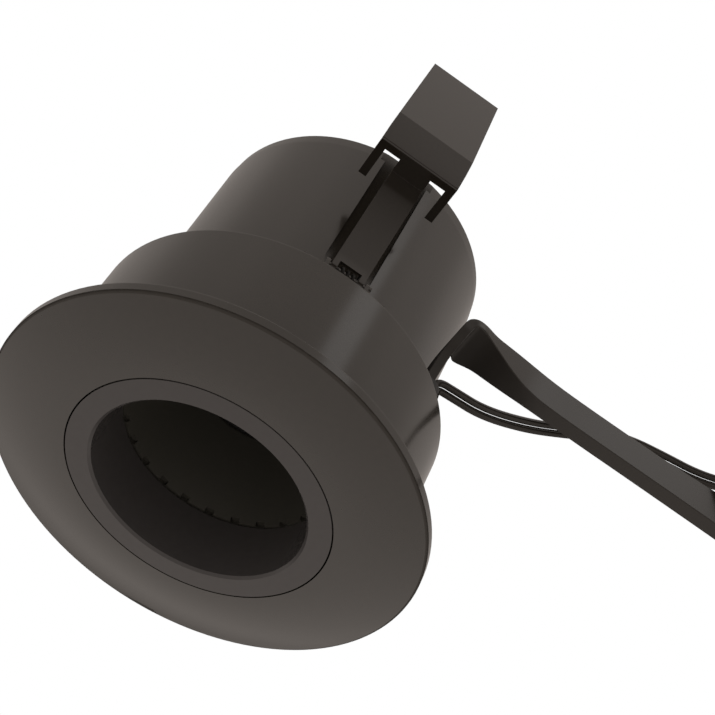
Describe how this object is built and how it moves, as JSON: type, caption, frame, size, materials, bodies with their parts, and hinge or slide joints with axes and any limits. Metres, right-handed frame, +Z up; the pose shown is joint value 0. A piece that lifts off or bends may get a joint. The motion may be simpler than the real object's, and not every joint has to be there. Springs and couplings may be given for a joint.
{
  "type": "recessed spotlight",
  "caption": "Round recessed ceiling spotlight with a flush flange, a deep-set mouth, a stepped barrel and hinged spring clips",
  "frame": {"origin": "on the lamp's axis, in the plane of the flange's back face, which lies on the ceiling", "axes": "+Z up along the lamp's axis into the ceiling, with the light going out along -Z; +X towards clip a and -X towards clip b; +Y the side where the leads leave"},
  "size_m": [0.09, 0.1557, 0.0905],
  "materials": {
    "black_coat": "smooth semi-gloss black coating on die-cast aluminium",
    "clip_coat": "smooth black coating on spring steel sheet",
    "spring_wire": "drawn spring wire",
    "screw_steel": "plated steel",
    "black_moulding": "moulded black thermoplastic",
    "smoked_lens": "smoked moulded lens",
    "white_board": "white solder resist on a metal-core board",
    "phosphor": "yellow phosphor gel",
    "bare_aluminium": "plain machined aluminium",
    "pad_rubber": "grey thermal pad",
    "black_rubber": "moulded black rubber",
    "lead_sheath": "smooth extruded black sheath",
    "wire_sleeve": "silicone sleeve"
  },
  "bodies": {
    "lamp": {"trim_flange": "black_coat", "front_barrel": "black_coat", "back_barrel": "black_coat", "back_cover": "black_coat", "reflector": "black_moulding", "lens": "smoked_lens", "led_board": "white_board", "led_emitter": "phosphor", "led_holder": "black_moulding", "module_housing": "bare_aluminium", "thermal_pad": "pad_rubber", "heat_sink": "bare_aluminium", "barrel_screws": "screw_steel", "module_screws": "screw_steel", "cover_screws": "screw_steel", "clip_a_bracket": "clip_coat", "clip_a_rivets": "screw_steel", "clip_a_pin": "screw_steel", "clip_a_spring": "spring_wire", "clip_b_bracket": "clip_coat", "clip_b_rivets": "screw_steel", "clip_b_pin": "screw_steel", "clip_b_spring": "spring_wire", "supply_grommet": "black_rubber", "flex_grommet": "black_rubber", "supply_lead": "lead_sheath", "flex_lead": "lead_sheath", "inner_wires": "wire_sleeve", "supply_connector": "black_moulding", "flex_connector": "black_moulding"},
    "insert": {"trim_insert": "black_coat", "insert_snap_ring": "spring_wire"},
    "clip_a": {"clip_a_leaf": "clip_coat"},
    "clip_b": {"clip_b_leaf": "clip_coat"}
  },
  "joints": [
    {"name": "insert_slide", "type": "slide", "parent": "lamp", "child": "insert", "axis": [0, 0, -1], "range_m": [0, 0.03]},
    {"name": "clip_a_hinge", "type": "hinge", "parent": "lamp", "child": "clip_a", "pos_m": [0.03325, 0, 0.0282], "axis": [0, 1, 0], "range_deg": [-11, 98], "stiffness_Nm_per_rad": 0.02, "deforming": ["clip_a_spring"]},
    {"name": "clip_b_hinge", "type": "hinge", "parent": "lamp", "child": "clip_b", "pos_m": [-0.03325, 0, 0.0282], "axis": [0, -1, 0], "range_deg": [-11, 98], "stiffness_Nm_per_rad": 0.02, "deforming": ["clip_b_spring"]}
  ]
}
